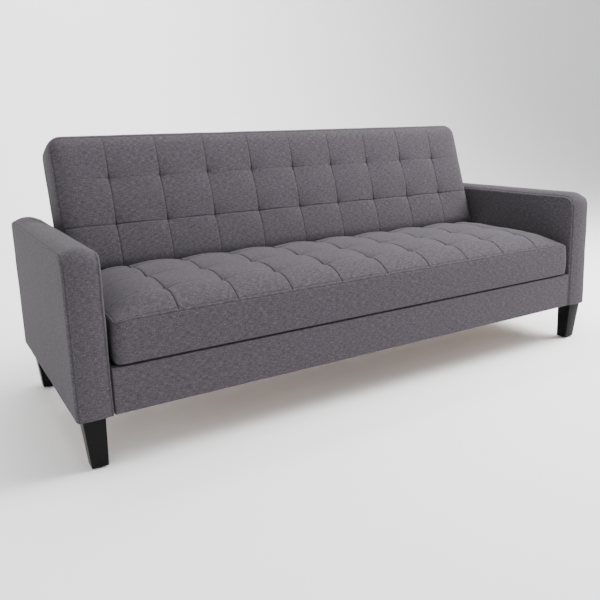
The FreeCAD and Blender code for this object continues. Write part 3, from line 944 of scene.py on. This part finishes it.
    def groove_shade_marks(self) -> np.ndarray:
        """All the stitched lines and seams, marked for painted shade."""
        return np.clip(np.maximum.reduce([self.quilt_line(), 0.55 * self.hem_line(),
                                          0.9 * self.seam_line()]), 0, 1)

    def stitch_depth(self) -> np.ndarray:
        """The quilting, the border seams and the top-stitch beside them."""
        quilted = self.stitch * self.quilt_line() + self.hem_depth * self.hem_line()
        return quilted + self.seam_depth * self.seam_line()


@dataclass
class PlainBlock(SoftShell):
    """An upholstered board: flat panels front and back, and a boxed band round its edge.

    axes names the sofa's axes that a, b and c lie along, and sign is the direction of +c on its
    own axis. roll eases the panels' edges over at the band and foot_roll at the foot; bulge fills
    the panels out; band_crown and top_rise shape the band at its two ends and along its top.
    """

    axes: tuple[int, int, int] = (0, 1, 2)
    sign: float = 1.0
    roll: float = 12 * MM
    bulge: float = 4 * MM
    bulge_reach: float = 90 * MM
    band_crown: tuple[float, float] = (5 * MM, 15 * MM)
    crown_reach: tuple[float, float] = (70 * MM, 120 * MM)
    top_rise: float = 0.0
    foot_roll: float = 6 * MM
    seam_depth: float = 2.4 * MM

    def place(self, local: np.ndarray) -> np.ndarray:
        """Send a, b and c to their axes of the sofa.

        Args:
            local: points in the board's own axes.

        Returns:
            The points in the sofa's axes.
        """
        spots = np.empty_like(local)
        for number, axis in enumerate(self.axes):
            spots[:, axis] = local[:, number] * (self.sign if number == 2 else 1.0)
        return spots

    def edge(self, a: np.ndarray, b: np.ndarray) -> np.ndarray:
        """Each point's distance in plan from the banded edge: the two ends and the top."""
        return np.minimum(np.minimum(a - self.a[0], self.a[-1] - a), self.b[-1] - b)

    def shape(self, a: np.ndarray, b: np.ndarray, c: np.ndarray) -> np.ndarray:
        """Roll the panels' edges over, crown the band and fill the panels out.

        Args:
            a: lattice coordinates along the board.
            b: lattice coordinates up the board.
            c: lattice coordinates through the board.

        Returns:
            The points in the board's own axes.
        """
        middle, half = (self.c[0] + self.c[-1]) / 2, (self.c[-1] - self.c[0]) / 2
        across = (c - middle) / half
        edge = self.edge(a, b)
        foot = b - self.b[0]
        panel = np.abs(across) > 0.999
        roll = self.roll * (1 - rise(edge, self.roll))
        roll = np.maximum(roll, self.foot_roll * (1 - rise(foot, self.foot_roll)))
        fullness = self.bulge * ease(np.minimum(edge, foot) / self.bulge_reach)
        reach = np.where(panel, half - self.bulge + fullness - roll,
                         np.abs(across) * (half - self.bulge - self.roll))
        height = middle + np.sign(across) * reach
        ra, rb = self.round_corners(a, b)
        end = nearness(np.minimum(a - self.a[0], self.a[-1] - a), self.crown_reach[0])
        top = nearness(self.b[-1] - b, self.crown_reach[1])
        along, up = shares(end, top)
        crown = np.abs(across) ** 2.2
        ra = ra - np.sign(a - (self.a[0] + self.a[-1]) / 2) * self.band_crown[0] * crown * along
        rb = rb + (self.top_rise - self.band_crown[1] * crown) * up
        return np.stack([ra, rb, height], axis=1)

    def seam_line(self) -> np.ndarray:
        """Find the two seams between the band and the panels.

        Returns:
            1 on a seam and 0 elsewhere.
        """
        a, b, c = self.flat
        rim = self.edge(a, b) < HAIR
        return (rim & (np.minimum(c - self.c[0], self.c[-1] - c) < HAIR)).astype(float)

    def groove_shade_marks(self) -> np.ndarray:
        """The seams, marked for painted shade."""
        return 0.8 * self.seam_line()

    def stitch_depth(self) -> np.ndarray:
        """The two seams of the band."""
        return self.seam_depth * self.seam_line()


# --- assemblies ---------------------------------------------------------------------------------
def pivot() -> tuple[float, float, float]:
    """Find the line that the seat and the back turn about.

    Returns:
        The line's Y and Z, and the lean of the back from upright in radians.
    """
    joints = {joint["name"]: joint for joint in frame["joints"]}
    recline = joints["back_recline"]
    spot = recline["pos_m"]
    lean = math.radians(90 - max(recline["range_deg"]))
    return spot[1], spot[2], lean


def own_box(name: str, lean: float) -> tuple[np.ndarray, np.ndarray]:
    """A node's extents in the axes of a pad that leans on the pivot line.

    Args:
        name: the CAD node.
        lean: the pad's turn from upright.

    Returns:
        The low and high corners as (a, b, c).
    """
    y0, z0, _ = pivot()
    spots = coordinates(frame["nodes"][name])
    y, z = spots[:, 1] - y0, spots[:, 2] - z0
    b = y * math.sin(lean) + z * math.cos(lean)
    c = -y * math.cos(lean) + z * math.sin(lean)
    own = np.stack([spots[:, 0], b, c], axis=1)
    return own.min(axis=0), own.max(axis=0)


@dataclass
class Mattress:
    """The seat and the back: two tufted pads that meet at the pivot line.

    pitch and row_pitch space the tufts, first_row is the first seat row's distance from the front
    edge, near and step set the lattice, and hem is the top-stitch's distance from the seam.
    """

    pitch: float = 180 * MM
    row_pitch: tuple[float, float] = (169 * MM, 161 * MM)
    first_row: float = 109 * MM
    near: tuple[float, ...] = (1.5 * MM, 4 * MM, 9 * MM, 18 * MM, 30 * MM)
    step: float = 24 * MM
    hem: float = 7 * MM
    seat_sag: float = 2 * MM
    seat_seam: float = -13 * MM
    back_seam: float = 27 * MM
    back_inset: float = 10 * MM
    back_rise: float = 4 * MM

    def columns(self) -> tuple[float, ...]:
        """The nine tuft columns."""
        return tuple((number - 4) * self.pitch for number in range(9))

    def lines(self, low: float, high: float, tufts: tuple[float, ...]) -> np.ndarray:
        """Lattice lines across a pad, with one on every row of tufts and on the two hems.

        Args:
            low: the first edge.
            high: the last edge.
            tufts: where the tufts lie.

        Returns:
            The sorted positions.
        """
        return stops(low, high, [*tufts, low + self.hem, high - self.hem], list(self.near), self.step)

    def borders(self, low: float, seam: float) -> np.ndarray:
        """Lattice heights of the boxed border, from the underside to the seam."""
        return stops(low, seam, [], [2 * MM, 5 * MM, 11 * MM], 20 * MM)

    def seat(self) -> TuftedPad:
        """Lay out the seat pad from its cover's box; b runs to the rear from its front edge.

        Returns:
            The pad, not built yet.
        """
        y, z, _ = pivot()
        low, high = own_box("seat_cover", math.pi / 2)
        rows = tuple(low[1] + self.first_row + number * self.row_pitch[0] for number in range(3))
        return TuftedPad(
            "seat_pad", "seat", ("seat_foam", "seat_cover", "seat_lining"),
            self.lines(low[0], high[0], self.columns()), self.lines(low[1], high[1], rows),
            self.borders(low[2] - self.seat_sag, self.seat_seam), lined_side="c-",
            corners={(-1, -1): 24 * MM, (1, -1): 24 * MM, (-1, 1): 10 * MM, (1, 1): 10 * MM},
            lean=math.pi / 2, pivot=(y, z), columns=self.columns(), rows=rows, seam=self.seat_seam,
            low=30 * MM, crest=50 * MM, edge_a=185 * MM, edge_b=(105 * MM, 90 * MM),
            spread=28 * MM, column_crease=3.5 * MM, row_crease=1.8 * MM,
            row_stitch=(0.3, 0.3, 0.3), crown=22 * MM, crown_at=low[1] + 375 * MM,
            border_bulge=(4 * MM, 4 * MM, 0.0), end_reach=450 * MM, corner_drop=8 * MM, cap=3 * MM)

    def back(self) -> TuftedPad:
        """Lay out the back pad from its cover's box; b runs up from its lower edge.

        Returns:
            The pad, not built yet.
        """
        y, z, lean = pivot()
        low, high = own_box("back_cover", lean)
        rows = (self.row_pitch[1], 2 * self.row_pitch[1])
        return TuftedPad(
            "back_pad", "back", ("back_foam", "back_cover"),
            self.lines(low[0] + self.back_inset, high[0] - self.back_inset, self.columns()),
            self.lines(low[1], high[1] + self.back_rise, rows),
            self.borders(low[2], self.back_seam),
            corners={(-1, 1): 40 * MM, (1, 1): 40 * MM, (-1, -1): 8 * MM, (1, -1): 8 * MM},
            lean=lean, pivot=(y, z), columns=self.columns(), rows=rows, seam=self.back_seam,
            low=32 * MM, crest=43 * MM, edge_a=40 * MM, edge_b=(34 * MM, 40 * MM),
            spread=18 * MM, column_crease=1.6 * MM, row_crease=0.6 * MM, stitch=3.6 * MM,
            row_stitch=(0.6, 0.1), line_rest=(0.36, 0.35), hem_depth=0.0, crown=5 * MM,
            crown_at=high[1] / 2, border_bulge=(10 * MM, 0.0, 16 * MM), border_square=5.0,
            square_back=True, cap=2 * MM)


@dataclass
class ArmsAndRail:
    """The two arms and the padded front rail of the storage box.

    front_round and rear_round are the arms' corner radii, and rail_reach and rail_rise carry the
    rail a little past its CAD box at its ends and along its top.
    """

    front_round: float = 48 * MM
    rear_round: float = 24 * MM
    rail_reach: float = 1.5 * MM
    rail_rise: float = 1.5 * MM

    def arm(self, side: str) -> PlainBlock:
        """Lay out one arm from its cover's box: long side Y, height Z, thickness X.

        Args:
            side: left or right.

        Returns:
            The arm, not built yet.
        """
        low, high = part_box(f"{side}_arm_cover")
        sign = 1.0 if side == "right" else -1.0
        thick = sorted((low[0] * sign, high[0] * sign))
        near = [1.5 * MM, 4 * MM, 8 * MM, 13 * MM, 20 * MM, 32 * MM, 50 * MM]
        return PlainBlock(
            f"{side}_arm_upholstery", "base", (f"{side}_arm_cover", f"{side}_arm_foam"),
            stops(low[1], high[1], [], near, 20 * MM), stops(low[2], high[2], [], near, 20 * MM),
            stops(thick[0], thick[1], [], [2 * MM, 6 * MM, 14 * MM, 26 * MM], 12 * MM),
            lined_side="b-", corners={(-1, 1): self.front_round, (1, 1): self.rear_round},
            axes=(1, 2, 0), sign=sign, roll=8 * MM, bulge=0.5 * MM, top_rise=9 * MM)

    def rail(self) -> PlainBlock:
        """Lay out the front rail: long side X, height Z, thickness towards the front.

        Returns:
            The rail, not built yet.
        """
        low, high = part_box("front_rail_cover")
        near = [1.5 * MM, 3.5 * MM, 6 * MM, 12 * MM]
        return PlainBlock(
            "front_rail_upholstery", "base", ("front_rail_cover", "front_rail_padding"),
            stops(low[0] - self.rail_reach, high[0] + self.rail_reach, [], near, 24 * MM),
            stops(low[2], high[2] + self.rail_rise, [], near, 12 * MM),
            stops(-high[1], -low[1], [], [1.5 * MM, 4 * MM], 6 * MM),
            axes=(0, 2, 1), sign=-1.0, roll=3.5 * MM, bulge=1 * MM, band_crown=(0.0, 0.0),
            foot_roll=5 * MM, seam_depth=0.0, drift=0.8 * MM)


@dataclass
class Leg:
    """A tapered square leg, its outer and end faces drawn in towards the floor."""

    name: str
    taper: float = 15 * MM
    edge: float = 2.2 * MM
    smooth_below: float = math.radians(35)

    def build(self) -> bpy.types.Object:
        """Model the leg over its CAD node: a cube, its foot moved in, its edges eased.

        Returns:
            The finished leg.
        """
        low, high = (Vector(corner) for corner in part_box(self.name))
        bpy.ops.object.select_all(action="DESELECT")
        bpy.ops.mesh.primitive_cube_add(size=1, location=(low + high) / 2)
        piece = bpy.context.active_object
        piece.name = piece.data.name = f"{self.name}_lacquered"
        piece.scale = high - low
        bpy.ops.object.transform_apply(location=True, rotation=True, scale=True)
        middle = (low + high) / 2
        outward = Vector((math.copysign(1, middle.x), math.copysign(1, middle.y), 0))
        for axis in (0, 1):
            for vertex in piece.data.vertices:
                at_foot = vertex.co.z < middle.z
                outside = (vertex.co[axis] - middle[axis]) * outward[axis] > 0
                vertex.select = bool(at_foot and outside)
            for group in (piece.data.edges, piece.data.polygons):
                for item in group:
                    item.select = all(piece.data.vertices[v].select for v in item.vertices)
            shift = [0.0, 0.0, 0.0]
            shift[axis] = -outward[axis] * self.taper
            bpy.ops.object.mode_set(mode="EDIT")
            bpy.ops.transform.translate(value=shift)
            bpy.ops.object.mode_set(mode="OBJECT")
        bevel = piece.modifiers.new("eased_edges", "BEVEL")
        bevel.width = self.edge
        bevel.segments = 3
        bpy.ops.object.modifier_apply(modifier=bevel.name)
        bpy.ops.object.shade_smooth_by_angle(angle=self.smooth_below)
        piece.data.materials.clear()
        piece.data.materials.append(MATERIALS[Finish.LACQUER])
        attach(piece, "base")
        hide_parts(self.name)
        return piece


def dress_cad_nodes() -> None:
    """Give every CAD node that stays in sight the finish of its slot."""
    slots = {part["node"]: part["material_slot"] for part in frame["record"]["subparts"]}
    for name, piece in frame["nodes"].items():
        finish = Finish(slots[name])
        if len(piece.material_slots) == 0:
            piece.data.materials.append(MATERIALS[finish])
        for slot in piece.material_slots:
            slot.material = MATERIALS[finish]
    log.info("%d CAD nodes dressed", len(slots))


# --- studio -------------------------------------------------------------------------------------
@dataclass
class Studio:
    """A pale floor, soft light and the camera.

    turn, dip and tilt are the camera's angles in radians: right of +Y, below level and rolled.
    """

    eye: tuple[float, float, float] = (-1.31488, -2.15842, 0.89721)
    turn: float = 0.560
    dip: float = 0.202
    tilt: float = -0.025
    lens: float = 40.39
    shift: tuple[float, float] = (-0.0504, -0.0617)
    sensor: float = 36.0
    floor_front: float = -9.0
    floor_half: float = 14.0
    wall_foot: float = 3.0
    wall_curve: float = 2.0
    wall_top: float = 8.0

    def camera(self) -> None:
        """Aim the camera by its turn to the right, its dip and its small tilt."""
        ahead = Vector((math.sin(self.turn) * math.cos(self.dip),
                        math.cos(self.turn) * math.cos(self.dip), -math.sin(self.dip)))
        right = Vector((math.cos(self.turn), -math.sin(self.turn), 0))
        up = right.cross(ahead)
        across = right * math.cos(self.tilt) + up * math.sin(self.tilt)
        upward = up * math.cos(self.tilt) - right * math.sin(self.tilt)
        data = bpy.data.cameras.new("camera")
        data.sensor_width = self.sensor
        data.lens = self.lens
        data.shift_x, data.shift_y = self.shift
        camera = bpy.data.objects.new("camera", data)
        rows = Matrix((across, upward, -ahead)).transposed().to_4x4()
        rows.translation = Vector(self.eye)
        camera.matrix_world = rows
        bpy.context.scene.collection.objects.link(camera)
        bpy.context.scene.camera = camera

    def lamp(self, name: str, spot: tuple, aim: tuple, size: float, watts: float) -> None:
        """Hang one soft square lamp and point it.

        Args:
            name: the lamp's name.
            spot: where it hangs.
            aim: the point that it faces.
            size: its side, in metres.
            watts: its power.
        """
        data = bpy.data.lights.new(name, "AREA")
        data.shape = "SQUARE"
        data.size = size
        data.energy = watts
        lamp = bpy.data.objects.new(name, data)
        lamp.location = spot
        lamp.rotation_euler = (Vector(aim) - Vector(spot)).to_track_quat("-Z", "Y").to_euler()
        bpy.context.scene.collection.objects.link(lamp)

    def sweep(self) -> None:
        """Lay a pale floor that curves up into a wall behind the sofa."""
        bpy.ops.object.select_all(action="DESELECT")
        bpy.ops.mesh.primitive_plane_add(size=1, location=(0, 0, 0))
        floor = bpy.context.active_object
        floor.name = floor.data.name = "floor"
        rows = [(self.floor_front, 0.0)]
        for number in range(17):
            turn = math.pi / 2 * number / 16
            rows.append((self.wall_foot + self.wall_curve * math.sin(turn),
                         self.wall_curve - self.wall_curve * math.cos(turn)))
        rows.append((self.wall_foot + self.wall_curve, self.wall_top))
        points = [(x, y, z) for y, z in rows for x in (-self.floor_half, self.floor_half)]
        quads = [(2 * n, 2 * n + 1, 2 * n + 3, 2 * n + 2) for n in range(len(rows) - 1)]
        floor.data.clear_geometry()
        floor.data.from_pydata(points, [], quads)
        bpy.ops.object.shade_smooth()
        # matt near-white paper, so that the floor stays plain and pale
        material, tree, _ = blank("white_backdrop_paper")
        close(tree, Base_Color=linear("fafafa"), Roughness=0.8, Specular_IOR_Level=0.1)
        floor.data.materials.append(material)

    def build(self) -> None:
        """Lay the floor, light it and set the camera up."""
        world = bpy.data.worlds.new("studio")
        world.use_nodes = True
        sky = world.node_tree.nodes["Background"]
        sky.inputs["Color"].default_value = (1, 1, 1, 1)
        sky.inputs["Strength"].default_value = 0.8
        bpy.context.scene.world = world
        self.sweep()
        self.lamp("top", (2.8, -1.0, 2.9), (0.3, 0, 0.3), 2.0, 320)
        self.lamp("over", (0.3, -0.3, 3.6), (0.2, -0.1, 0.3), 1.6, 70)
        self.lamp("right", (3.6, -2.8, 1.7), (0.5, 0, 0.5), 1.6, 25)
        self.lamp("left", (-3.4, 0.4, 0.7), (-0.9, 0.1, 0.4), 1.0, 28)
        self.lamp("front", (-2.4, -3.3, 1.1), (0, 0, 0.4), 2.0, 28)
        self.lamp("wall", (0.0, 2.2, 4.5), (0, 5.0, 1.2), 3.0, 260)
        self.camera()


def main() -> None:
    """Build every piece in order and report it."""
    dress_cad_nodes()
    mattress = Mattress()
    trim = ArmsAndRail()
    for shell in (mattress.seat(), mattress.back(), trim.arm("left"), trim.arm("right"), trim.rail()):
        shell.build()
    for end in ("front", "rear"):
        for side in ("left", "right"):
            log.info("%s made", Leg(f"{side}_{end}_leg").build().name)
    Studio().build()


if __name__ == "__main__":
    logging.basicConfig(level=logging.INFO)
    main()
